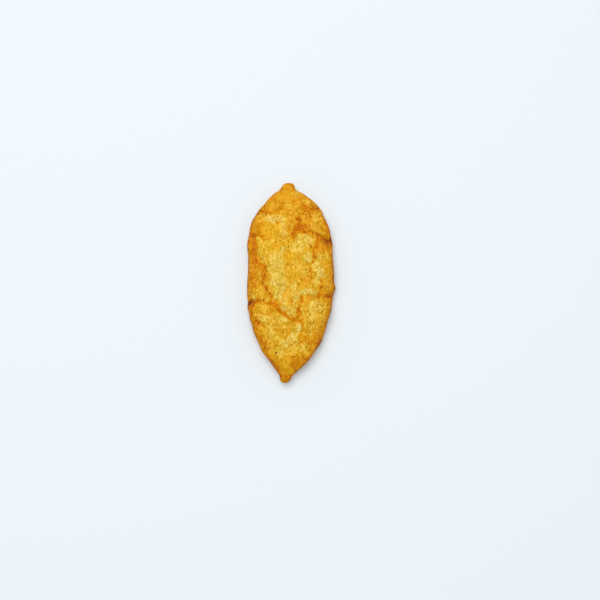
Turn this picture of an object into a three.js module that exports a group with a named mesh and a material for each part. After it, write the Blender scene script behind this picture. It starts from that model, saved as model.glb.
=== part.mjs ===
// A leaf-shaped puffed rice cracker, lying on its flatter side. It is one piece of fried
// rice dough: a pointed oval with a blunt nub at each end, a crowned top that creases divide
// into puffed plates, a full rounded rim, and a flatter underside with a level patch to rest on.
//
// Units are millimetres. +Z is up and +Y runs along the cracker to its fuller end. The origin
// is on the resting plane, under the middle of the cracker's bounding box.

import * as THREE from 'three';
import { ImprovedNoise } from 'three/addons/math/ImprovedNoise.js';
import { mergeVertices } from 'three/addons/utils/BufferGeometryUtils.js';

// Driving dimensions
const length = 60;
const width = 25.45;
const rimHeight = 3.1; // the rim line above the resting plane at mid-length
const tipLift = 0.8; // how much higher the rim line is at the tips
const crown = 4.5; // rise of the top above the rim line
const crownFall = 0.3; // share of the crown lost towards the tips
const keel = 3.2; // drop of the underside below the rim line, before it is levelled
const crownFullness = 2.5; // exponent of the section: 2 is an ellipse, more is squarer
const keelFullness = 2.1;
const tipThickening = 5.5; // half-width over which the thickness builds up from a tip

// Each end narrows over its reach, then runs out in a nub, which is rounder or more blunt.
const ends = {
  full: { reach: 18.4, shoulder: 2.12, point: 0.67, nubRadius: 2.1, nubNeck: 1.75, blunt: 2.5 },
  slender: { reach: 28.3, shoulder: 2.32, point: 0.82, nubRadius: 1.7, nubNeck: 1.35, blunt: 2 },
};
const neckBlend = 1; // how softly a nub runs into the narrowing body

// The centre line wanders to the left, at even steps from the full end to the slender end
const centreShifts = [
  -0.85, -1, -0.3, -0.5, -0.7, -0.6, -0.3, -0.35, -0.3, -0.15, -0.2,
  -0.25, -0.45, -0.45, -0.5, -0.35, -0.5, -0.8, -0.75, -1.35, -1.85,
];

// Creases in the crust, laid out on the rim's level as they show from the eye's place, so that
// the ones on the crown lie a little nearer to the slender end. Each is cut to its depth and
// width, times a strength that runs evenly from its first point to its last.
const eye = { x: 2.6, y: -27.8, z: 184 };
const creases = [
  { // the long one, down the left side
    path: [[-11.2, 14], [-10.8, 8], [-8.4, 5.4], [-7.8, 2], [-8.1, -1.4], [-5.8, -4.8], [-3, -8.6]],
    depth: 0.5, width: 0.75, strength: [0.7, 1],
  },
  { // it goes on across the middle to the right
    path: [[-3, -8.6], [0.4, -11.2], [3.2, -11.9]],
    depth: 0.55, width: 0.75, strength: [0.9, 1],
  },
  { // up from its end
    path: [[2.2, -10.9], [2.3, -8.4], [3.4, -4.6]],
    depth: 0.4, width: 0.6, strength: [1, 0.4],
  },
  { // down from its end
    path: [[3.2, -11.9], [3.6, -14], [2.3, -16.4], [3.2, -18.4]],
    depth: 0.25, width: 0.6, strength: [1, 0.5],
  },
  { // the saddle under the full end
    path: [[0.3, 12.8], [1.4, 15.8], [3, 17.4], [2.7, 20]],
    depth: 0.35, width: 0.9, strength: [1, 1],
  },
  { // the saddle's arm to the right rim
    path: [[3, 17], [5.6, 15.3], [7.8, 13.8], [10.2, 12.9], [12.6, 12.4]],
    depth: 0.55, width: 0.7, strength: [0.8, 1],
  },
  { // the saddle's arm down the right side
    path: [[8, 13.5], [7.2, 10.4], [6.5, 6.6], [5.8, 2.6], [3.4, 0.2]],
    depth: 0.3, width: 0.65, strength: [1, 0.6],
  },
  { // sets the full end's tip off, on the left
    path: [[-9.8, 21.4], [-6.6, 21], [-3.4, 22.2], [-0.4, 23.9]],
    depth: 0.35, width: 0.7, strength: [1, 0.3],
  },
  { // sets the full end's tip off, on the right
    path: [[8.8, 22.4], [5.6, 21.6], [3.6, 23.6]],
    depth: 0.4, width: 0.8, strength: [1, 0.4],
  },
  { // the shallow trough down the middle
    path: [[0, 12.8], [-1.2, 10], [-0.5, 5], [-0.2, 1], [-2.4, -4.4]],
    depth: 0.25, width: 1, strength: [1, 0.6],
  },
  { // four short ones that run in from the rim
    path: [[12.9, -4], [10.4, -4.5], [7.8, -4.4]],
    depth: 0.45, width: 0.65, strength: [1, 0.4],
  },
  {
    path: [[-13, -6.3], [-10.4, -6.2], [-6.2, -5.8]],
    depth: 0.45, width: 0.65, strength: [1, 0.5],
  },
  {
    path: [[-12.7, 14.4], [-9.4, 14]],
    depth: 0.35, width: 0.6, strength: [1, 0.3],
  },
  {
    path: [[9.8, -15.6], [6.4, -14.9], [3.5, -14.7]],
    depth: 0.2, width: 0.5, strength: [0.9, 0.7],
  },
];
const puff = 0.7; // how far a plate swells between its creases
const puffReach = 2.6; // distance from a crease over which it swells
const puffSink = 0.5; // share of the swelling taken off all over, to keep the outline true
const creaseSamples = 24; // points measured along each crease

const tipFade = 5; // distance from a tip over which the relief comes in
const rimShare = 0.3; // share of the relief that is left in the outline
const rimFade = 0.7; // upward part of the surface normal where the relief is whole

// The underside bulges in the middle, where the cracker rests
const restBulge = { height: 0.7, width: 6, length: 17 };

// Small fried bubbles that stand out of the rim
const rimBubbles = [
  { at: [13, -2], height: 0.7, radius: 1.2 },
  { at: [12.8, 4.2], height: 0.15, radius: 1.1 },
  { at: [-12.7, -7.8], height: 0.4, radius: 1.2 },
  { at: [9.2, -18], height: 0.15, radius: 1.4 },
  { at: [-11.2, -15.5], height: 0.35, radius: 2.5 },
  { at: [-6.6, 24.2], height: 0.12, radius: 1.1 },
  { at: [-3.3, 27.6], height: 0.32, radius: 1 },
  { at: [-9.5, 21.8], height: 0.38, radius: 1.6 },
  { at: [8.9, 22], height: 0.38, radius: 1.6 },
  { at: [-13.1, 11], height: 0.28, radius: 1.6 },
  { at: [-13, -4], height: 0.2, radius: 2 },
  { at: [12.7, -4.6], height: 0.25, radius: 1.8 },
];

// The crust's own unevenness, from broad swellings to small lumps. Shifts set them apart.
const lumps = [
  { size: 7, height: 0.36, shift: 10 },
  { size: 3.2, height: 0.28, shift: 20 },
  { size: 1.6, height: 0.16, shift: 30 },
];

// How finely the surface is divided
const stations = 92; // along the length
const topSteps = 40; // across the top
const undersideSteps = 24; // across the underside

const mergeTolerance = 1e-5;
const { lerp, smoothstep } = THREE.MathUtils;
const noise = new ImprovedNoise();

function smoothMax(a, b, blend) {
  const overlap = Math.max(blend - Math.abs(a - b), 0) / blend;
  return Math.max(a, b) + (overlap * overlap * blend) / 4;
}

function endAt(y) {
  return y > 0 ? ends.full : ends.slender;
}

// Half the cracker's width at a place along its length
function halfWidth(y) {
  const end = endAt(y);
  const fromTip = length / 2 - Math.abs(y);
  const remaining = Math.max(0, 1 - (fromTip - end.nubNeck) / end.reach);
  const body = (width / 2) * Math.max(0, 1 - remaining ** end.shoulder) ** end.point;
  const intoNub = Math.min(fromTip, end.nubRadius);
  const left = 1 - intoNub / end.nubRadius;
  const nub = end.nubRadius * (1 - left ** end.blunt) ** (1 / end.blunt);
  const neck = neckBlend * Math.min(1, fromTip / end.nubNeck);
  return neck > 0 ? smoothMax(body, nub, neck) : nub;
}

const wander = new THREE.SplineCurve(centreShifts.map((x) => new THREE.Vector2(x, 0)));

function centreLine(y) {
  return wander.getPoint(0.5 - y / length).x;
}

// How much of the full thickness is left at a place along the length
function thicknessShare(y) {
  const build = (w) => 1 - Math.exp(-w / tipThickening);
  return build(halfWidth(y)) / build(width / 2);
}

function rimLine(y) {
  return rimHeight + tipLift * ((2 * y) / length) ** 2;
}

// The outline from the full end's tip to the slender end's, on one side
class OutlineCurve extends THREE.Curve {
  getPoint(t, target = new THREE.Vector2()) {
    const y = (length / 2) * Math.cos(Math.PI * t);
    return target.set(halfWidth(y), y);
  }
}

// Half of a cross-section, from one rim over the top or under the underside to the other rim
class SectionCurve extends THREE.Curve {
  constructor(y, side) {
    super();
    this.y = y;
    this.side = side;
    this.fullness = side > 0 ? crownFullness : keelFullness;
    const fall = 1 - crownFall * ((2 * y) / length) ** 2;
    this.rise = (side > 0 ? crown * fall : keel) * thicknessShare(y);
  }

  getPoint(t, target = new THREE.Vector3()) {
    const across = -this.side * Math.cos(Math.PI * t);
    const up = Math.max(0, 1 - Math.abs(across) ** this.fullness) ** (1 / this.fullness);
    return target.set(
      centreLine(this.y) + halfWidth(this.y) * across,
      this.y,
      rimLine(this.y) + this.side * this.rise * up,
    );
  }
}

// The smooth body: a sphere whose rings become cross-sections at even steps along the outline
function smoothBody() {
  const ring = topSteps + undersideSteps;
  const geometry = new THREE.SphereGeometry(1, ring, stations);
  const outline = new OutlineCurve().getSpacedPoints(stations);
  const position = geometry.attributes.position;
  let vertex = 0;
  for (let station = 0; station <= stations; station += 1) {
    const y = outline[station].y;
    const top = new SectionCurve(y, 1).getSpacedPoints(topSteps);
    const underside = new SectionCurve(y, -1).getSpacedPoints(undersideSteps);
    const section = [...top, ...underside.slice(1)];
    for (const point of section) {
      position.setXYZ(vertex, point.x, point.y, point.z);
      vertex += 1;
    }
  }
  geometry.deleteAttribute('normal');
  geometry.deleteAttribute('uv');
  const body = mergeVertices(geometry, mergeTolerance);
  body.computeVertexNormals();
  return body;
}

// Each crease as closely spaced points, with its strength at each
const creasePoints = creases.map((crease) => {
  const route = new THREE.CatmullRomCurve3(crease.path.map(([x, y]) => new THREE.Vector3(x, y, 0)));
  return route.getSpacedPoints(creaseSamples).map((point, i) => ({
    x: point.x,
    y: point.y,
    strength: lerp(...crease.strength, i / creaseSamples),
  }));
});

// Where a place on the top shows on the rim's level
function seenAt(point) {
  const reach = (eye.z - rimHeight) / (eye.z - point.z);
  return [lerp(eye.x, point.x, reach), lerp(eye.y, point.y, reach)];
}

// Depth of the creases and height of the plates between them, at a place in their layout
function creaseRelief(x, y) {
  let cut = 0;
  let nearest = Infinity;
  creases.forEach((crease, i) => {
    for (const point of creasePoints[i]) {
      const away = Math.hypot(x - point.x, y - point.y);
      cut = Math.max(cut, crease.depth * point.strength * Math.exp(-((away / crease.width) ** 2)));
      nearest = Math.min(nearest, away);
    }
  });
  return puff * (1 - puffSink - Math.exp(-((nearest / puffReach) ** 2))) - cut;
}

function lumpRelief(point) {
  let height = 0;
  for (const { size, height: lumpHeight, shift } of lumps) {
    height += lumpHeight * noise.noise(point.x / size + shift, point.y / size, point.z / size);
  }
  return height;
}

function bubbleRelief(point) {
  let height = 0;
  for (const bubble of rimBubbles) {
    const [x, y] = bubble.at;
    const away = Math.hypot(point.x - x, point.y - y, point.z - rimLine(y));
    height += bubble.height * Math.exp(-((away / bubble.radius) ** 2));
  }
  return height;
}

function restRelief(x, y) {
  return restBulge.height * Math.exp(-((x / restBulge.width) ** 2) - (y / restBulge.length) ** 2);
}

// The underside has the same kind of creases as the top, turned end for end. The relief dies
// away towards the tips, so that the nubs stay round, and it is low at the rim, which runs
// smoothly past the creases' ends.
function reliefAt(point, normal) {
  const upward = smoothstep(normal.z, -0.5, 0.2);
  const top = creaseRelief(...seenAt(point));
  const underside = creaseRelief(point.x, -point.y) + restRelief(point.x, point.y);
  const tipShare = smoothstep(length / 2 - Math.abs(point.y), 0, tipFade);
  const share = tipShare * lerp(rimShare, 1, smoothstep(Math.abs(normal.z), 0, rimFade));
  return share * (lerp(underside, top, upward) + lumpRelief(point)) + bubbleRelief(point);
}

// The body with its relief, levelled where it rests
function crackerGeometry() {
  const geometry = smoothBody();
  const position = geometry.attributes.position;
  const normals = geometry.attributes.normal;
  const point = new THREE.Vector3();
  const normal = new THREE.Vector3();
  for (let i = 0; i < position.count; i += 1) {
    point.fromBufferAttribute(position, i);
    normal.fromBufferAttribute(normals, i);
    point.addScaledVector(normal, reliefAt(point, normal));
    position.setXYZ(i, point.x, point.y, Math.max(0, point.z));
  }
  geometry.computeBoundingBox();
  const middle = geometry.boundingBox.getCenter(new THREE.Vector3());
  geometry.translate(-middle.x, -middle.y, 0);
  geometry.computeVertexNormals();
  return geometry;
}

const crust = new THREE.MeshStandardMaterial({ color: 0xdaa12c, roughness: 0.55, metalness: 0 });

const cracker = new THREE.Mesh(crackerGeometry(), crust);
cracker.name = 'cracker';

const model = new THREE.Group();
model.add(cracker);

export default model;
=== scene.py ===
import math
import bpy
import numpy as np
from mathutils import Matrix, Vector, noise


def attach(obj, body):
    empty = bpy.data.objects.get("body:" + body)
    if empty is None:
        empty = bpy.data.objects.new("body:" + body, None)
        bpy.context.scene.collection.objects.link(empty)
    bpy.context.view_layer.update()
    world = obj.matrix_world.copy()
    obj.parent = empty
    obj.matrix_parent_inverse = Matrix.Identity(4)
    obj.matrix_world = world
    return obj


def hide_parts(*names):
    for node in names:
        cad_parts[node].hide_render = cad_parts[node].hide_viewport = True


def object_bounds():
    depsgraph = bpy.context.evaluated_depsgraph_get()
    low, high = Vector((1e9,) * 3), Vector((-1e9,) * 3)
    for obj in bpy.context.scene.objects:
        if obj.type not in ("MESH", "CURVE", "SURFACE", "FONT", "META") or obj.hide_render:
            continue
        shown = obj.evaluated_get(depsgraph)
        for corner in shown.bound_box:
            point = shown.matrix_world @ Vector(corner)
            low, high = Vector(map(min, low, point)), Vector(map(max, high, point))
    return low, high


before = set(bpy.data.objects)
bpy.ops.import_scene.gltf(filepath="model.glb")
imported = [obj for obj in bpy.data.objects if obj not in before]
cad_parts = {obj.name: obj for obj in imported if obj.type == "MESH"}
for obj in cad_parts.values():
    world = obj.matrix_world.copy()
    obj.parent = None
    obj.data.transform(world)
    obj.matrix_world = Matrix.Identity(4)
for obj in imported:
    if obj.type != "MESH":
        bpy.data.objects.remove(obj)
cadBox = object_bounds()
mm = 0.001


# Everyday helpers

def selectOnly(piece):
    bpy.ops.object.select_all(action="DESELECT")
    piece.select_set(True)
    bpy.context.view_layer.objects.active = piece


def modify(piece, kind, **settings):
    selectOnly(piece)
    modifier = piece.modifiers.new(kind.title(), kind)
    for name, value in settings.items():
        setattr(modifier, name, value)
    bpy.ops.object.modifier_apply(modifier=modifier.name)


def smoothstep(low, high, value):
    t = np.clip((value - low) / (high - low), 0, 1)
    return t * t * (3 - 2 * t)


def mix(shares, fields):
    # so much of each named field, added up
    return sum(share * fields[name] for name, share in shares.items())


def colour(hexCode):
    # from a screen's colour code to linear light
    channels = [int(hexCode[i:i + 2], 16) / 255 for i in (0, 2, 4)]
    return [((c + 0.055) / 1.055) ** 2.4 if c > 0.04 else c / 12.92 for c in channels] + [1]


# Shader sockets that can be added, subtracted and multiplied as numbers are

class Wire:
    def __init__(self, tree, socket=None):
        self.tree = tree
        self.socket = socket

    def add(self, kind, settings, values, output=0):
        node = self.tree.nodes.new(kind)
        stops = settings.pop("stops", None)
        for name, value in settings.items():
            setattr(node, name, value)
        if stops:
            ramp = node.color_ramp
            while len(ramp.elements) < len(stops):
                ramp.elements.new(0.5)
            for element, (place, shade) in zip(ramp.elements, stops):
                element.position = place
                element.color = shade
        for name, value in values.items():
            if isinstance(value, Wire):
                self.tree.links.new(value.socket, node.inputs[name])
            else:
                node.inputs[name].default_value = value
        return Wire(self.tree, node.outputs[output])

    def maths(self, operation, first, second):
        return self.add("ShaderNodeMath", {"operation": operation}, {0: first, 1: second})

    def __add__(self, other):
        return self.maths("ADD", self, other)

    def __radd__(self, other):
        return self.maths("ADD", other, self)

    def __sub__(self, other):
        return self.maths("SUBTRACT", self, other)

    def __rsub__(self, other):
        return self.maths("SUBTRACT", other, self)

    def __mul__(self, other):
        return self.maths("MULTIPLY", self, other)

    def __rmul__(self, other):
        return self.maths("MULTIPLY", other, self)

    def between(self, low, high):
        values = {"Value": self, "From Min": low, "From Max": high}
        return self.add("ShaderNodeMapRange", {"interpolation_type": "SMOOTHSTEP"}, values)

    def cover(self, below, above):
        settings = {"data_type": "RGBA", "blend_type": "MIX", "clamp_factor": True}
        return self.add("ShaderNodeMix", settings, {0: self, 6: below, 7: above}, 2)

    def tinted(self, tint):
        return self.add("ShaderNodeVectorMath", {"operation": "MULTIPLY"}, {0: self, 1: tint})

    def power(self, exponent):
        return self.add("ShaderNodeGamma", {}, {"Color": self, "Gamma": exponent})

    def grainedAndShaded(self, grainAndShade, tint, darkest):
        # random grain with painted fine shade and highlights: as much lighter or darker to the eye
        # on every colour
        screenPower = 2.2
        spread = self.add("ShaderNodeCombineXYZ", {}, {0: grainAndShade, 1: grainAndShade, 2: grainAndShade})
        values = {0: spread, 1: tint, 2: self.power(1 / screenPower)}
        added = self.add("ShaderNodeVectorMath", {"operation": "MULTIPLY_ADD"}, values)
        values = {0: added, 1: (darkest,) * 3}
        held = self.add("ShaderNodeVectorMath", {"operation": "MAXIMUM"}, values)
        return held.power(screenPower)

    def into(self, surface, name):
        self.tree.links.new(self.socket, surface.inputs[name])


def newMaterial(name, constants):
    material = bpy.data.materials.new(name)
    material.use_nodes = True
    tree = material.node_tree
    surface = tree.nodes["Principled BSDF"]
    for socket, value in constants.items():
        surface.inputs[socket].default_value = value
    return material, Wire(tree), surface


# Camera: almost straight above, leaning back from the slender end

cameraSettings = {
    "target": (2.63 * mm, -5.5 * mm, 3 * mm),
    "elevation": 83,
    "distance": 182.2 * mm,
    "fieldOfView": 52,
    "nearest": 1 * mm,
}


def addCamera():
    lean = math.radians(cameraSettings["elevation"])
    target = Vector(cameraSettings["target"])
    back = Vector((0, -math.cos(lean), math.sin(lean)))
    bpy.ops.object.camera_add(location=target + back * cameraSettings["distance"])
    camera = bpy.context.object
    camera.rotation_euler = (-back).to_track_quat("-Z", "Y").to_euler()
    camera.data.angle = math.radians(cameraSettings["fieldOfView"])
    camera.data.clip_start = cameraSettings["nearest"]
    bpy.context.scene.camera = camera


addCamera()
print("camera placed")


# Where things are on the crust, in millimetres from the cracker's middle. They are laid out on
# the rim's level as they show from the eye's place, so on the crown they lie a little nearer to it.

crustSettings = {
    "eye": (2.6, -27.8, 184),
    "rimLevel": 3.1,
    "voxel": 0.197,
    "smoothing": 5,
    "mergeDistance": 0.001,
    "sliceStep": 0.5,  # between the slices that the outline is read from
    "seed": 9,
    "upwardFrom": (-0.3, 0.2),  # how far up the crust faces where the top's pattern comes in
    "sidewaysTo": 0.7,
    "rimShare": 0.4,  # of the relief, where the crust faces sideways
    "rimWidth": 1,
    "rimSink": 0.15,
    "shoulderSpread": 2.6,  # how much wider than its path a crease's shoulders are
    "crackSpread": 0.35,
    "patchFade": (1.2, 0.92),  # shares of a patch's reach, from none of it to all of it
    "speckFade": (1.4, 0.6),
    "tipFrom": (19, 27),
    "bubbleStretch": (1, 0.45, 1),
    "beadStretch": (1, 0.6, 1),
    "bubbleDome": 0.85,
    "bubbleGap": 0.22,
    "grainAndShadeAmountLimits": (0.3, 1.1),
}

# A crease is a path, its width and how brown it is
creases = [
    ([(-9.3, 21.6), (-8.2, 21.3), (-6.9, 20.7), (-6, 21.1), (-4.4, 21.8), (-2.9, 22.3)], 0.55, 0.4),
    ([(8.6, 22.5), (7.2, 22.3), (5.9, 21.9), (5, 21.6), (4.2, 22.4), (3.6, 23.6)], 0.7, 0.5),
    ([(6, 21.5), (5.4, 20.2), (6, 19.4)], 0.4, 0.9),
    ([(0.4, 13.2), (0.6, 14.4), (1.2, 15.6), (1.9, 16.6), (2.7, 17.2), (2.6, 18.8), (2.1, 19.4)],
     0.7, 0.65),
    ([(2.2, 16.2), (3, 15.6), (4.2, 15.3), (5.6, 15.2), (6.8, 14.7), (7.6, 14)], 0.5, 0.7),
    ([(7.6, 14), (8.1, 13.1), (7.8, 12), (7.6, 10.8), (7, 9.8), (6.8, 8.4), (7, 7)], 0.6, 0.55),
    ([(7.3, 14.3), (8.8, 13.9), (9.8, 13), (10.9, 12.3), (12.2, 12.4)], 0.6, 0.85),
    ([(-12, 14.4), (-10.8, 13.9), (-9.9, 14.3), (-9, 13.6), (-8.6, 14.1)], 0.5, 0.6),
    ([(-11.6, 14.2), (-11.5, 12.6), (-11, 11.2), (-10.9, 9.5), (-11.2, 8), (-11, 7)], 0.8, 0.4),
    ([(-11, 7), (-10, 6.3), (-9, 5.8), (-8.1, 4.8), (-7.9, 3.4), (-7.8, 2), (-7.9, 0.8)],
     0.7, 0.45),
    ([(-8.6, -0.1), (-8, -1), (-7.4, -2.3), (-6.5, -3.5)], 0.25, 1.1),
    ([(-6.4, -3.6), (-5.6, -5), (-5.2, -6.5), (-4.2, -8), (-3.2, -8.9)], 0.6, 0.8),
    ([(-3.2, -8.9), (-2, -9.6), (-1, -10.6), (0.2, -11.1), (1.6, -11.6), (3, -11.9)], 0.5, 0.95),
    ([(2, -10.6), (2.1, -9.4), (2.4, -7.8), (2.8, -6.4), (3.4, -5), (3.4, -4.2)], 0.45, 0.7),
    ([(12.3, -4), (11, -4.6), (10, -4.5), (9, -4), (8, -4.3), (7.4, -4.6)], 0.6, 0.55),
    ([(8.6, -3), (8.5, -1.5), (8.9, 0.3), (8.9, 1)], 0.4, 0.5),
    ([(6.1, 5.8), (5.8, 4), (5.9, 2), (6.1, 1.4), (4.9, 0.7), (3.9, 0.3), (3.4, 0.5)], 0.4, 0.5),
    ([(-12.6, -6.2), (-11.2, -6.5), (-10, -6), (-9, -5.8), (-7.6, -6.1), (-6, -6.1)], 0.5, 0.5),
    ([(3, -11.9), (3.2, -13), (3.6, -13.9), (3.2, -14.8), (2.4, -15.8), (2.6, -17), (3, -18)],
     0.35, 0.4),
    ([(3.4, -14.8), (5, -15), (6.6, -15), (8.6, -15.4)], 0.3, 0.2),
    ([(-10.6, -11.9), (-9.6, -12.1)], 0.45, 0.4),
    ([(-9.4, -17), (-8.2, -19), (-7.3, -20.5), (-6, -22.3), (-4.9, -24.6), (-4, -26.3)], 0.8, 0.1),
    ([(9, -17), (8.5, -18.5), (7.6, -19.6)], 0.5, 0.25),
    ([(3, -22.4), (4.2, -23.2)], 0.4, 0.55),
]

# The golden trough down the middle, where the crust is yellow but not browned
trough = [
    ([(0, 13), (-1.2, 12.2), (-1.5, 10.8), (-0.5, 9), (-0.5, 7.5), (-0.3, 6), (-0.2, 4)], 0.8, 0.8),
    ([(-0.2, 4), (0.4, 2.5), (-0.6, 1.2), (-0.8, -0.4), (-0.5, -2), (-2, -3), (-2.6, -4.6)],
     0.6, 0.6),
]

# A plate is its middle, its two reaches, how far it is turned, and how pale it is
plates = [
    (-5, 19.2, 3.6, 1.2, 0, 0.9), (-2.5, 16.5, 1, 2.6, 8, 0.55), (-6, 15.8, 3.2, 2, 0, 0.2),
    (7.9, 18.8, 1.6, 2, 0, 0.35), (-1.2, 23.2, 1.2, 0.9, 0, 0.25), (4.5, 24.3, 1, 0.7, 0, 0.55),
    (-9.8, 12.6, 0.8, 1.2, 0, 0.55), (-6.5, 12, 2.4, 1.4, 0, 0.3), (-4.2, 9, 2.6, 1.6, 20, 0.6),
    (-4.4, 4.6, 2.4, 3.4, 0, 0.65), (-3.4, -0.6, 2.6, 2.4, 10, 0.7), (-3.9, -4, 1.3, 1.2, 0, 0.7),
    (3.6, 12.4, 2.6, 2, 0, 0.6), (1.6, 10.2, 1.8, 1.6, 0, 0.75), (4.9, 7.4, 1.5, 1.6, 0, 0.95),
    (1.5, 5, 1.6, 1.4, 0, 0.3), (7.6, 4.6, 1.1, 1.6, 0, 0.85), (8.8, 2.4, 1.3, 1.6, 20, 0.8),
    (10.3, 7.6, 1, 1.8, 0, 0.45), (7.7, 0, 0.9, 1.6, 0, 0.55), (0.9, -2.2, 0.9, 1.8, 0, 0.6),
    (4.5, -3.2, 1.8, 0.8, 0, 0.95), (7.4, -7, 2.2, 2.2, 0, 0.45), (5.8, -11, 2, 2.4, 0, 0.25),
    (9.6, -8.4, 0.9, 2.4, 0, 0.35), (-1.9, -7.2, 1, 1.7, 0, 0.7), (0.2, -8.6, 1.5, 1.3, 0, 0.5),
    (-7.8, -10.8, 1.8, 1.1, 0, 0.65), (-2.4, -11.4, 1.5, 0.9, 0, 0.7),
    (-6.6, -13.8, 1.4, 1.8, 0, 0.35), (-5.3, -16.4, 1.4, 1.2, 0, 0.35),
    (2.2, -14, 1.1, 1.1, 0, 0.9), (0.8, -16.6, 1.6, 1.5, 0, 0.65), (-2.3, -18.2, 1.2, 1.5, 0, 0.7),
    (3.2, -19.4, 1.8, 1, 0, 0.45), (-3.3, -21.3, 1.2, 1.4, 0, 0.45), (5, -20.6, 1.1, 1, 0, 0.25),
    (-9.6, 2.5, 0.8, 2, 0, 0.35), (-8.4, 8.8, 1.1, 2.4, 0, 0.65), (1.2, -4.8, 1.2, 1, 0, 0.85),
    (-6.2, -5.2, 1.2, 0.7, 0, 0.4), (2.2, -12.6, 1.6, 0.6, 0, 0.1),
    (-11.2, -4.9, 0.9, 0.9, 0, 0.85), (6.4, -3.4, 1.1, 0.8, 0, 0.8), (8.4, 7.4, 1, 1, 0, 0.75),
    (8.8, 14.9, 1, 0.8, 0, 0.65), (-2.3, 2.5, 0.9, 1, 0, 0.65), (-0.8, 10.3, 0.9, 0.9, 0, 0.65),
    (2.8, -4.1, 0.9, 0.7, 0, 0.6), (-2.9, -8, 0.7, 0.9, 0, 0.6), (5.2, -15.6, 0.9, 0.8, 0, 0.5),
    (-8.6, 20.4, 1, 0.7, 0, 0.5), (2.8, 2.8, 1.1, 0.8, 0, 0.5), (0.4, -26.8, 0.8, 0.9, 0, 0.5),
    (1.4, 26.7, 1.2, 0.8, 0, 0.5),
]

# A browned place is the same, with how brown it is
browned = [
    (3.9, 16.6, 1.6, 0.8, 0, 1.05), (1.6, 16.6, 0.9, 1.5, -20, 0.7), (7, 22, 1.4, 0.9, -10, 0.3),
    (-7.8, 21.4, 1.2, 0.8, 0, 0.3), (3.7, 22.4, 0.9, 1.3, 0, 0.25), (-11.3, 10.5, 0.9, 4.4, 0, 0.6),
    (-8.4, 3.2, 1, 2.6, 8, 0.55), (-10.6, 3.4, 1.6, 3.6, 0, 0.6), (7.4, 10.2, 0.9, 1.8, 0, 0.2),
    (10.4, 11, 1.5, 1.8, 0, 0.65), (10.4, -4.3, 1.8, 0.8, 0, 0.4), (2.5, 8.2, 0.7, 1.4, 0, 0.15),
    (-11.8, -7, 0.9, 1.6, 0, 1), (-5.4, -7, 1.3, 1.2, 0, 0.3), (-9.5, -4, 2.4, 2.4, 0, 0.1),
    (-10.4, -13, 0.9, 1.6, 0, 0.65), (-8.2, -18.2, 0.9, 2.2, 22, 0.65),
    (-5, -23.6, 0.9, 2.4, 30, 0.2), (6, -16.8, 2.8, 1.3, 0, 0.55), (8.2, -18.6, 0.7, 1.3, -30, 0.5),
    (-0.9, -14.4, 0.7, 1.5, 0, 0.6), (-3.8, -14.2, 0.8, 0.9, 0, 0.4), (2.6, -24, 1.2, 1, 0, 0.35),
    (4.4, -22.9, 0.9, 0.7, 0, 0.1), (-1.6, -28.6, 0.9, 0.9, 0, 0.4), (9.6, -1.4, 1, 1.4, 0, 0.35),
    (1.3, 2.4, 1.7, 0.8, 0, 0.1), (-5, 25.2, 0.7, 0.6, 0, 0.55), (0.8, -23.6, 1.5, 2, 0, 0.65),
    (-6, -9.4, 1, 1, 0, 0.65), (-7.8, -14.6, 1.1, 1, 0, 0.4), (6.6, -18.2, 1.2, 1, 0, 0.5),
    (-4.6, 11, 1.2, 1, 0, 0.5), (-10, -1.2, 1.6, 1.4, 0, 0.6), (-5.4, -1.8, 0.8, 0.8, 0, 0.5),
    (4.2, -0.8, 0.6, 1, -30, 0.55), (2.4, 15.2, 0.7, 0.7, 0, 0.6), (2.4, -9, 0.7, 1.1, 0, 0.7),
    (3.1, -16.1, 1, 0.8, 0, 0.7), (-2, -10.4, 0.9, 0.7, 0, 0.6), (5.5, -5.3, 1.1, 0.7, 0, 0.6),
    (-4.6, 9.8, 1, 0.9, 0, 0.45), (0.4, -0.6, 0.8, 0.8, 0, 0.55), (-11.6, -8.3, 0.7, 1.2, 0, 0.55),
    (-1.7, -22.8, 1.2, 0.9, 0, 0.5), (-9, -17, 0.7, 1.2, 20, 0.55),
    (-1.1, -16.1, 0.7, 0.8, 0, 0.45), (-11.7, 0.7, 0.6, 1.4, 0, 0.5),
]

# A golden place is richer in yellow than its surroundings, and a chalky one is poorer
golden = [
    (-7, 15.8, 4.2, 2.1, 5, 1), (-7.2, 10, 2.6, 1.8, 0, 0.6), (-2.2, 11.6, 1.2, 0.9, 0, 0.6),
    (-0.7, 8, 1.4, 2.2, 0, 0.8), (1.4, 2.6, 2.4, 2.2, 0, 0.7), (4.4, -0.8, 2.4, 1.2, 0, 0.5),
    (3.2, -5.4, 3, 0.9, 0, 0.8), (-4.2, -7.4, 1, 1.4, 0, 0.7), (2.2, -9.6, 0.9, 1.4, 0, 0.6),
    (-3.2, -14.6, 1.6, 0.8, 0, 0.6), (4.8, -17.2, 2.2, 0.9, 0, 0.6), (-0.8, -20.6, 1, 0.7, 0, 0.5),
    (1.4, -24.2, 1.4, 1.2, 20, 0.7), (-1.6, 25.6, 1.8, 1.4, 0, 0.6), (3.4, 21.8, 1, 2, -20, 0.6),
    (-1.3, 19.2, 0.8, 0.8, 0, 0.6), (-5.4, 21.6, 2.8, 0.6, 15, 0.4), (8, 12, 0.6, 2.4, -10, 0.5),
    (10.2, 10, 1.4, 0.7, 0, 0.5), (5.2, 9.6, 1.2, 0.8, 0, 0.5), (-10, -5, 1.6, 0.8, 0, 0.4),
    (8.6, -3.4, 0.8, 1.2, 0, 0.5), (-1.1, 0.7, 1.3, 1.2, 0, 0.9), (-0.8, -6.5, 0.9, 1.1, 0, 0.9),
    (4, -2, 1.3, 1, 0, 0.8), (-2, 19, 1, 1, 0, 0.7), (5.5, -5.3, 1.2, 0.8, 0, 0.6),
    (-2.6, -10.1, 1, 0.8, 0, 0.6), (3.1, -16.1, 1, 0.8, 0, 0.5), (-5, 9.7, 1, 0.9, 0, 0.5),
]
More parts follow.
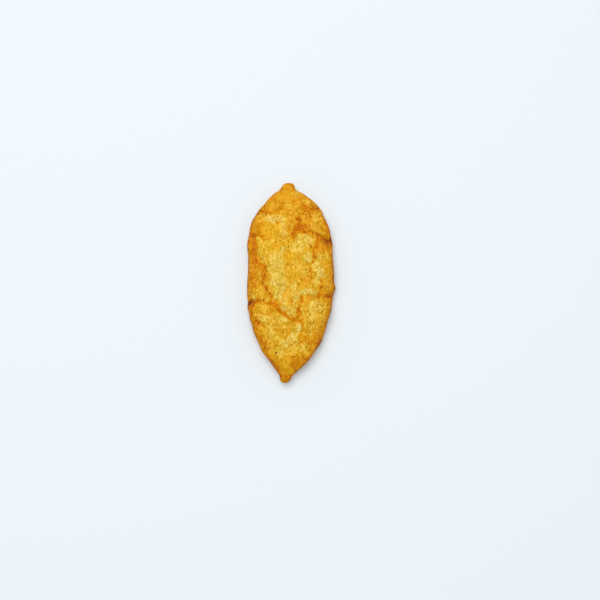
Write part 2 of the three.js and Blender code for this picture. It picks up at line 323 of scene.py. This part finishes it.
chalky = [
    (-6.6, 0, 1.4, 1.2, 0, 1), (-8.6, 5.4, 1.4, 1.6, 0, 0.5), (8.6, 3, 1.4, 2.8, 0, 0.9),
    (3.4, 12.8, 2.6, 1.8, 0, 0.5), (-2.6, 9.5, 0.7, 0.7, 0, 0.6), (5, 6.2, 0.9, 0.8, 0, 0.7),
    (6.8, 19.8, 1.4, 1, 0, 0.5), (-4.4, -4.3, 1.8, 1, 0, 0.6), (9.7, -8.6, 1, 1.2, 0, 0.9),
    (7.6, -9.6, 2.4, 3.4, 0, 0.4), (0.8, -9.4, 0.9, 0.8, 0, 0.6), (-2, -11, 1.1, 0.8, 0, 0.8),
    (-8.2, -11.6, 1.6, 1, -20, 0.7), (-5.6, -15.6, 1, 1.6, 0, 0.8), (2.9, -13.6, 1.1, 1, 0, 0.9),
    (-0.2, -17, 1.2, 1.7, 0, 0.9), (-3.4, -21.4, 0.9, 1.6, 0, 0.9), (4.4, -19.8, 1.6, 0.6, 0, 0.5),
    (-2.4, 16.4, 1, 2.4, 8, 0.6), (-4.4, 19.4, 2.6, 0.8, 0, 0.4), (6.4, 13, 1.6, 1, 0, 0.4),
    (6.4, 23.2, 1.2, 1, 0, 0.8), (-2, 9.4, 1.1, 0.9, 0, 0.8), (-7.1, 1, 1, 1.1, 0, 0.7),
    (0.4, -26.9, 0.9, 0.8, 0, 0.7), (8.8, 6.7, 1, 1.2, 0, 0.7), (6.7, 2.8, 0.9, 1, 0, 0.6),
    (-2.9, 13.3, 1, 1, 0, 0.7), (6.1, -20.6, 1, 0.9, 0, 0.7), (2.2, 26.2, 1.2, 0.8, 0, 0.6),
    (4, 10.6, 1, 0.9, 0, 0.5),
]

# Scorched specks: where, how big and how dark
specks = [
    (-4.35, -21, 0.3, 1), (0.25, -18.9, 0.24, 0.6), (-6.5, -20, 0.24, 0.35),
    (-8.4, -0.2, 0.28, 0.5), (-7.9, -0.9, 0.22, 0.5), (-6.4, -3.6, 0.24, 0.5),
    (-7.3, -2.5, 0.16, 0.5), (1.7, 12, 0.2, 0.35), (-6.6, 10.6, 0.26, 0.35), (1.4, 6.3, 0.18, 0.35),
    (2.1, -10.6, 0.26, 0.35), (3.3, -10.1, 0.24, 0.35), (1.05, -22.2, 0.22, 0.6),
    (0.9, -23.1, 0.18, 0.35), (3.4, -22.2, 0.16, 0.35), (1.5, -24, 0.16, 0.35),
    (9.8, 12.9, 0.4, 0.3), (10.7, 12, 0.4, 0.3), (11.7, 12.7, 0.34, 0.4), (8.1, 14.1, 0.24, 0.5),
    (-6.7, 24.1, 0.34, 0.35), (-9, 21.5, 0.4, 0.35), (-9.9, 20.5, 0.4, 0.35), (8, 22.3, 0.32, 0.35),
    (13, -2.2, 0.5, 0.35), (-12.2, -6.4, 0.45, 0.35), (-5.2, -10.3, 0.2, 0.35),
    (2.3, 15.8, 0.26, 0.35), (-11.7, 13.8, 0.3, 0.35), (-10.4, 14, 0.2, 0.35),
    (8.6, -18.2, 0.4, 0.35), (12.7, 4.2, 0.3, 0.35), (-5.2, -14.2, 0.18, 0.35),
    (-3, 22.2, 0.24, 0.35), (2.7, 18.8, 0.2, 0.35), (-2.8, 5, 0.18, 0.35), (0.8, -1.2, 0.16, 0.35),
    (-0.7, 0, 0.18, 0.35), (3.2, 0.4, 0.2, 0.35), (9.3, 0.4, 0.18, 0.35),
]


def seenPlaces(points):
    eye = np.array(crustSettings["eye"])
    reach = (eye[2] - crustSettings["rimLevel"]) / (eye[2] - points[:, 2])
    return eye[:2] + (points[:, :2] - eye[:2]) * reach[:, None]


def strokeField(places, strokes, spread=1):
    field = np.zeros(len(places))
    for path, width, amount in strokes:
        for start, end in zip(path, path[1:]):
            start, run = np.array(start), np.subtract(end, start)
            along = np.clip((places - start) @ run / (run @ run), 0, 1)
            away = np.linalg.norm(places - start - along[:, None] * run, axis=1)
            field = np.maximum(field, amount * np.exp(-((away / (spread * width)) ** 2)))
    return field


def patchField(places, patches):
    field = np.zeros(len(places))
    for x, y, reachX, reachY, turn, amount in patches:
        angle = math.radians(turn)
        offset = places - (x, y)
        across = offset[:, 0] * math.cos(angle) + offset[:, 1] * math.sin(angle)
        along = offset[:, 1] * math.cos(angle) - offset[:, 0] * math.sin(angle)
        away = np.hypot(across / reachX, along / reachY)
        field = 1 - (1 - field) * (1 - amount * smoothstep(*crustSettings["patchFade"], away))
    return field


def speckField(places, spots):
    field = np.zeros(len(places))
    for x, y, radius, amount in spots:
        away = np.hypot(places[:, 0] - x, places[:, 1] - y) / radius
        field = np.maximum(field, amount * smoothstep(*crustSettings["speckFade"], away))
    return field


# Noise at every point: from -1 to 1, as a drift of the points, or as cells with domes and gaps

noise.seed_set(crustSettings["seed"])  # the drift is the same in each run


def cloudy(points, size, seed):
    shift = Vector((seed, 0, 0))
    return np.array([noise.noise(Vector(p) / size + shift) for p in points])


def drift(points, size, reach, seed):
    shift = Vector((seed, 0, 0))
    return reach * np.array([noise.noise_vector(Vector(p) / size + shift) for p in points])


def cells(points, size, seed):
    shift = Vector((seed, 0, 0))
    found = np.array([noise.voronoi(Vector(p) / size + shift)[0][:2] for p in points])
    dome = 1 - smoothstep(0, crustSettings["bubbleDome"], found[:, 0])
    gap = smoothstep(crustSettings["bubbleGap"], 0, found[:, 1] - found[:, 0])
    return dome, gap


def rimDistance(points):
    # distance in plan from the cracker's outline, which is read off the mesh in slices
    step = crustSettings["sliceStep"]
    low, high = points[points[:, 1].argmin()], points[points[:, 1].argmax()]
    outline = [low[:2], high[:2]]
    for y in np.arange(low[1] + step / 2, high[1], step):
        across = points[np.abs(points[:, 1] - y) < step / 2, 0]
        outline += [(across.min(), y), (across.max(), y)]
    nearest = np.full(len(points), np.inf)
    for place in outline:
        nearest = np.minimum(nearest, np.linalg.norm(points[:, :2] - place, axis=1))
    return nearest


def crackerBlank():
    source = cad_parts["cracker"]
    blank = bpy.data.objects.new("crust", source.data.copy())
    bpy.context.scene.collection.objects.link(blank)
    blank.data.materials.clear()
    selectOnly(blank)
    bpy.ops.object.mode_set(mode="EDIT")
    bpy.ops.mesh.select_all(action="SELECT")
    bpy.ops.mesh.remove_doubles(threshold=crustSettings["mergeDistance"] * mm)
    bpy.ops.object.mode_set(mode="OBJECT")
    modify(blank, "REMESH", mode="VOXEL", voxel_size=crustSettings["voxel"] * mm)
    modify(blank, "SMOOTH", factor=0.5, iterations=crustSettings["smoothing"])
    return blank


def readVectors(collection, name):
    values = np.empty(len(collection) * 3, np.float32)
    collection.foreach_get(name, values)
    return values.reshape(-1, 3)


def raiseBy(piece, heights):
    # moves each point along its normal, first the ones that rise and then the ones that sink
    for side in (1, -1):
        reach = np.maximum(side * heights, 0)
        group = piece.vertex_groups.new(name="reach")
        for i, share in enumerate(reach / reach.max()):
            group.add([i], float(share), "REPLACE")
        strength = side * reach.max() * mm
        modify(piece, "DISPLACE", strength=strength, mid_level=0, vertex_group="reach")
        piece.vertex_groups.clear()


def storeField(piece, name, values):
    attribute = piece.data.attributes.new(name, "FLOAT", "POINT")
    attribute.data.foreach_set("value", values.astype(np.float32))


def roomInBox(points, normals):
    # how far each point may move out before it reaches a side of the box, in millimetres
    low, high = (np.array(corner) / mm for corner in cadBox)
    towards = np.where(normals > 0, high - points, points - low)
    return (towards / np.maximum(np.abs(normals), 0.01)).min(axis=1)


# Drifts of the painted places: their size, reach and seed
strays = [(2.6, 0.4, 3), (0.9, 0.3, 9), (0.4, 0.12, 14)]
frays = [(1.3, 0.5, 22), (0.6, 0.4, 24)]

# Clouds: their size and seed. Some come in between two values of the noise.
clouds = {
    "swell": (2.3, 50), "mottle": (0.95, 52), "richCloud": (1.2, 70), "ruddyCloud": (1.4, 74),
}
brokenCloud, brokenFrom = (0.9, 40), (-0.25, 0.25)
veinCloud, veinWidth = (2, 54), 0.1
veinPatches, veinsFrom = (3, 56), (-0.1, 0.3)

# Fried bubbles: their size and seed, and the drift of their places
puffSize, puffDrift = (1.6, 30), (1.4, 0.75, 5)
blisterSize, blisterDrift = (0.85, 33), (0.8, 0.35, 6)
beadSize = (0.5, 36)

# Where a look comes in along the cracker, from none of it to all of it
lengthwise = {
    "slenderTip": (-20, -28), "pastSlenderTip": (-28, -16), "fullerHalf": (-4, 14),
    "body": (-30, -9), "fullerEnd": (8, 16), "fullerTip": (17, 24),
}

# How far in from the rim a look fades
rimward = {"margin": 1.5, "edge": 0.8, "nearRim": 3.5, "wideRim": 4}


def paintedFields(points, upward):
    # the underside has the top's pattern turned end for end
    def paint(places, draw, *what):
        underside = draw(places[:, :2] * (1, -1), *what)
        return underside + (draw(seenPlaces(places), *what) - underside) * upward

    strayed = points + sum(drift(points, *settings) for settings in strays)
    frayed = strayed + sum(drift(points, *settings) for settings in frays)
    crack = paint(strayed, strokeField, creases, crustSettings["crackSpread"])
    veins = smoothstep(veinWidth, 0, np.abs(cloudy(strayed, *veinCloud)))
    return {
        "crease": paint(strayed, strokeField, creases),
        "shoulder": paint(strayed, strokeField, creases, crustSettings["shoulderSpread"]),
        "crack": crack * smoothstep(*brokenFrom, cloudy(points, *brokenCloud)),
        "furrow": paint(strayed, strokeField, trough),
        "brown": paint(strayed, patchField, browned),
        "rich": paint(frayed, patchField, golden),
        "chalk": paint(frayed, patchField, chalky),
        "plate": paint(frayed, patchField, plates),
        "speck": paint(points, speckField, specks),
        "veins": veins * smoothstep(*veinsFrom, cloudy(points, *veinPatches)),
    }


def bubbleFields(points, rough):
    stretched = points * crustSettings["bubbleStretch"]
    puffs, puffGaps = cells(stretched + drift(points, *puffDrift), *puffSize)
    blisters, blisterGaps = cells(stretched + drift(points, *blisterDrift), *blisterSize)
    beads, beadGaps = cells(points * crustSettings["beadStretch"], *beadSize)
    halfRough, mostlyRough, smooth = 0.5 + 0.5 * rough, 0.4 + 0.6 * rough, 1 - 0.5 * rough
    return {
        "blisters": blisters,
        "roughPuffs": puffs * rough,
        "roughBlisters": (blisters - 0.5) * rough,
        "halfRoughBeads": (beads - 0.5) * halfRough,
        "halfRoughPuffGaps": puffGaps * halfRough,
        "halfRoughBlisterGaps": blisterGaps * halfRough,
        "mostlyRoughBlisterGaps": blisterGaps * mostlyRough,
        "mostlyRoughBeadGaps": beadGaps * mostlyRough,
        "smoothPuffGaps": puffGaps * smooth,
        "smoothBlisterGaps": blisterGaps * smooth,
    }


# What is mixed from the fields: so much of each of them
roughShares = {
    "everywhere": 0.5, "crease": 1, "brown": 0.4, "margin": 0.4, "plate": -0.4, "tip": -0.6,
}
reliefShares = {  # in millimetres
    "swell": 0.08, "crease": -0.16, "shoulder": -0.05, "veins": -0.06, "plate": 0.1,
    "roughPuffs": 0.12, "roughBlisters": 0.1, "halfRoughBeads": 0.05,
}
# Browning of the crust; margin, edge and wideRim add painted shade that darkens the crust along its
# rim
browningAndRimShadeShares = {
    "everywhere": 0.346, "margin": 0.2, "tip": 0.04, "crease": 0.22, "crack": 0.16,
    "shoulder": 0.06, "brown": 0.18, "plate": -0.22, "furrow": -0.04, "edge": 0.13,
    "wideRim": 0.04, "slenderTip": 0.05, "mottle": 0.025, "swell": 0.025, "veins": 0.05,
    "halfRoughPuffGaps": 0.07, "halfRoughBlisterGaps": 0.035, "blisters": -0.025,
}
richnessShares = {
    "everywhere": -0.09, "rich": 0.5, "chalk": -0.5, "furrow": 0.2, "richCloud": 0.3,
    "smoothPuffGaps": 0.3, "smoothBlisterGaps": 0.2, "pastSlenderTip": 0.2, "fullerHalf": 0.4,
    "plate": -0.22, "edge": -0.8,
}
ruddinessShares = {
    "everywhere": 0.27, "body": 0.3, "fullerEnd": 0.2, "crease": 0.2, "brown": 0.15,
    "nearRim": 0.26, "edge": -0.3, "plate": -0.3, "ruddyCloud": 0.3,
}
# How strong the grain and the painted fine shade and highlights are
grainAndShadeAmountShares = {"everywhere": 1.2, "tip": -0.6, "brown": -0.3, "crease": -0.4, "rich": -0.45}
# Painted shade in the gaps between blisters and beads
gapShadeShares = {"mostlyRoughBlisterGaps": 0.6, "mostlyRoughBeadGaps": 0.4}


def crustFields(points, rim, upward):
    fields = {"everywhere": 1} | paintedFields(points, upward)
    y = points[:, 1]
    stretched = points * crustSettings["bubbleStretch"]
    fields |= {name: smoothstep(*reach, y) for name, reach in lengthwise.items()}
    fields |= {name: np.exp(-rim / width) for name, width in rimward.items()}
    fields |= {name: cloudy(stretched, *settings) for name, settings in clouds.items()}
    fields["margin"] *= 1 - 0.5 * fields["fullerTip"]
    fields["tip"] = smoothstep(*crustSettings["tipFrom"], np.abs(y))
    fields["rough"] = np.clip(mix(roughShares, fields), 0, 1)
    return fields | bubbleFields(points, fields["rough"])


def layOutCrust(crust):
    points = (readVectors(crust.data.vertices, "co") / mm).astype(float)
    normals = readVectors(crust.data.vertex_normals, "vector")
    upward = smoothstep(*crustSettings["upwardFrom"], normals[:, 2])
    sideways = 1 - smoothstep(0, crustSettings["sidewaysTo"], np.abs(normals[:, 2]))
    rim = rimDistance(points)
    fields = crustFields(points, rim, upward)

    relief = mix(reliefShares, fields)
    level = relief[rim < crustSettings["rimWidth"]].mean()
    relief -= level + crustSettings["rimSink"] * fields["margin"]
    relief *= 1 - (1 - crustSettings["rimShare"]) * sideways
    relief = np.minimum(relief, roomInBox(points, normals))
    raiseBy(crust, relief)
    print("relief from", round(relief.min(), 2), "to", round(relief.max(), 2), "mm")

    # browning, with painted shade darkening the rim
    storeField(crust, "browningAndRimShade", mix(browningAndRimShadeShares, fields))
    # painted shade along the gaps between blisters and beads
    storeField(crust, "gapShade", mix(gapShadeShares, fields))
    storeField(crust, "richness", np.clip(mix(richnessShares, fields), 0, 1))
    storeField(crust, "ruddiness", np.clip(mix(ruddinessShares, fields), 0, 1))
    storeField(crust, "speck", fields["speck"])
    storeField(crust, "rough", fields["rough"])
    storeField(crust, "grainAndShadeAmount", np.clip(mix(grainAndShadeAmountShares, fields), *crustSettings["grainAndShadeAmountLimits"]))


# The crust's colours, from an unbrowned plate to a scorched speck; they also carry the painted
# shade along the rim
crustColours = [
    (0.0, "eccb67"), (0.2, "e9be44"), (0.36, "e2af29"), (0.5, "db9b0f"), (0.64, "cf8304"),
    (0.8, "b86704"), (1.0, "8a4606"),
]
speckColour = "2c1a0a"

# What the colours are multiplied by where the crust is chalky or golden, and sallow or ruddy
chalkTint = (0.99, 1.05, 1.75, 1)
richTint = (1.01, 0.95, 0.5, 1)
sallowTint = (0.97, 1.07, 1, 1)
ruddyTint = (1.03, 0.92, 0.95, 1)

crustConstants = {
    "IOR": 1.4,
    "Specular IOR Level": 0.1,
    "Subsurface Weight": 0.15,
    "Subsurface Radius": (1, 0.55, 0.15),
    "Subsurface Scale": 0.6 * mm,
}

# The crumb is finer than the mesh. A noise has its size, detail, roughness and distortion. A
# mark has its size and width, and the size, detail, start and fullness of the patches it is in.
crumbSettings = {
    "stretch": (1, 0.5, 0.9),
    "noises": {
        "grain": (0.6, 3, 0.85, 0), "sand": (0.36, 1, 0.5, 0), "shade": (1.1, 2, 0.5, 0),
        "fineBumps": (0.22, 2, 0.55, 0), "coarseBumps": (0.6, 3, 0.55, 0),
    },
    "flakes": (0.55, 2, 0.55, 0.6),
    "flakesFrom": (0.54, 0.64),
    "dots": {
        # pits are darkened with painted shade, glints lightened with painted highlights
        "pits": (0.75, 0.2, 1.6, 2, 0.45, 0.6), "glints": (0.65, 0.22, 1.9, 2, 0.4, 0.6),
    },
    "wrinkles": {
        "folds": (1.2, 0.06, 2.4, 1, 0.4, 0.55), "cracks": (0.65, 0.08, 1.7, 1, 0.55, 0.4),
    },
    "wrinkleNoise": (2, 0.5, 1.2),
    "patchRoughness": 0.55,
    "bumpHeight": 0.05 * mm,
    # tint and floor of the grain and the painted fine shade and highlights
    "grainAndShadeTint": (0.8, 1, 1.35),
    "darkestGrainAndShade": 0.02,
}

# So much of each of them in the colour, the grain and painted fine shade and highlights on it
# (shade in pits, folds, cracks and bubble gaps, highlights on glints), the roughness and the bumps
toneShares = {"browningAndRimShade": 1, "shade": 0.08, "folds": 0.03}
grainAndShadeShares = {
    "grain": 0.15, "sand": 0.28, "pits": -0.28, "glints": 0.1, "gapShade": -0.04,
    "folds": -0.07, "cracks": -0.08, "flakes": 0.04, "everywhere": 0.01,
}
roughnessShares = {"everywhere": 0.5, "grain": 0.3, "rough": 0.12}
bumpShares = {
    "fineBumps": 1, "coarseBumps": 1.2, "pits": -0.8, "glints": 0.4, "folds": -1, "cracks": -0.7,
}


def crumbWires(wire):
    place = wire.add("ShaderNodeTexCoord", {}, {}, "Object")
    streaky = place.tinted(crumbSettings["stretch"])

    def cloud(vector, size, detail, roughness, distortion):
        values = {"Vector": vector, "Scale": 1 / (size * mm), "Detail": detail,
                  "Roughness": roughness, "Distortion": distortion}
        return wire.add("ShaderNodeTexNoise", {}, values, "Fac")

    def dots(size, radius):
        values = {"Vector": streaky, "Scale": 1 / (size * mm)}
        found = wire.add("ShaderNodeTexVoronoi", {}, values, "Distance")
        return found.between(radius / size, 0.5 * radius / size)

    def wrinkles(size, width):
        middle = cloud(streaky, size, *crumbSettings["wrinkleNoise"]) - 0.5
        return (middle * middle).between(width ** 2, 0)

    def patches(size, detail, start, full):
        patch = cloud(place, size, detail, crumbSettings["patchRoughness"], 0)
        return patch.between(start, full)

    wires = {}
    for name, settings in crumbSettings["noises"].items():
        wires[name] = cloud(streaky, *settings) - 0.5
    for name, settings in crumbSettings["dots"].items():
        wires[name] = dots(*settings[:2]) * patches(*settings[2:])
    for name, settings in crumbSettings["wrinkles"].items():
        wires[name] = wrinkles(*settings[:2]) * patches(*settings[2:])
    flakes = cloud(streaky, *crumbSettings["flakes"])
    wires["flakes"] = flakes.between(*crumbSettings["flakesFrom"])
    return wires


def crustMaterial():
    material, wire, surface = newMaterial("fried_crust", crustConstants)
    wires = {"everywhere": 1} | crumbWires(wire)
    for name in ("browningAndRimShade", "gapShade", "richness", "ruddiness", "speck", "rough", "grainAndShadeAmount"):
        wires[name] = wire.add("ShaderNodeAttribute", {"attribute_name": name}, {}, "Fac")

    stops = [(stop, colour(code)) for stop, code in crustColours]
    values = {"Fac": mix(toneShares, wires)}
    tone = wire.add("ShaderNodeValToRGB", {"stops": stops}, values, "Color")
    tone = tone.tinted(wires["richness"].cover(chalkTint, richTint))
    tone = tone.tinted(wires["ruddiness"].cover(sallowTint, ruddyTint))
    # random grain, painted shade in pits, folds, cracks and bubble gaps, and painted highlights on
    # glints
    grainAndShade = mix(grainAndShadeShares, wires) * wires["grainAndShadeAmount"]
    tone = tone.grainedAndShaded(grainAndShade, crumbSettings["grainAndShadeTint"], crumbSettings["darkestGrainAndShade"])
    wires["speck"].cover(tone, colour(speckColour)).into(surface, "Base Color")
    mix(roughnessShares, wires).into(surface, "Roughness")
    values = {"Height": mix(bumpShares, wires), "Strength": 1}
    values["Distance"] = crumbSettings["bumpHeight"]
    wire.add("ShaderNodeBump", {}, values, "Normal").into(surface, "Normal")
    return material


def makeCrust():
    crust = crackerBlank()
    print("blank", len(crust.data.vertices), "points")
    layOutCrust(crust)
    selectOnly(crust)
    bpy.ops.object.shade_smooth()
    crust.data.materials.append(crustMaterial())
    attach(crust, "root")
    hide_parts("cracker")
    print("crust has", len(crust.data.polygons), "faces")


makeCrust()


# Stage: a sheet of pale bluish paper, an open sky and one broad lamp

stageSettings = {
    "paper": "e6ecf0",
    "paperSize": 3000 * mm,
    "paperRoughness": 0.9,
    "paperShine": 0.2,
    "sky": (0.93, 0.97, 1.0, 1.0),
    "skyStrength": 0.53,
    "lampPlace": (-100 * mm, 200 * mm, 950 * mm),
    "lampSize": 750 * mm,
    "lampPower": 6.6,
}


def addPaper():
    bpy.ops.mesh.primitive_plane_add(size=stageSettings["paperSize"])
    paper = bpy.context.object
    paper.name = "paper"
    constants = {
        "Base Color": colour(stageSettings["paper"]),
        "Roughness": stageSettings["paperRoughness"],
        "Specular IOR Level": stageSettings["paperShine"],
    }
    paper.data.materials.append(newMaterial("paper", constants)[0])


def addLights():
    world = bpy.data.worlds.new("sky")
    world.use_nodes = True
    bpy.context.scene.world = world
    sky = world.node_tree.nodes["Background"]
    sky.inputs["Color"].default_value = stageSettings["sky"]
    sky.inputs["Strength"].default_value = stageSettings["skyStrength"]
    place = Vector(stageSettings["lampPlace"])
    bpy.ops.object.light_add(type="AREA", location=place)
    lamp = bpy.context.object
    lamp.rotation_euler = (-place).to_track_quat("-Z", "Y").to_euler()
    lamp.data.shape = "DISK"
    lamp.data.size = stageSettings["lampSize"]
    lamp.data.energy = stageSettings["lampPower"]


addPaper()
addLights()
bpy.context.scene.view_settings.view_transform = "Standard"
print("stage set")
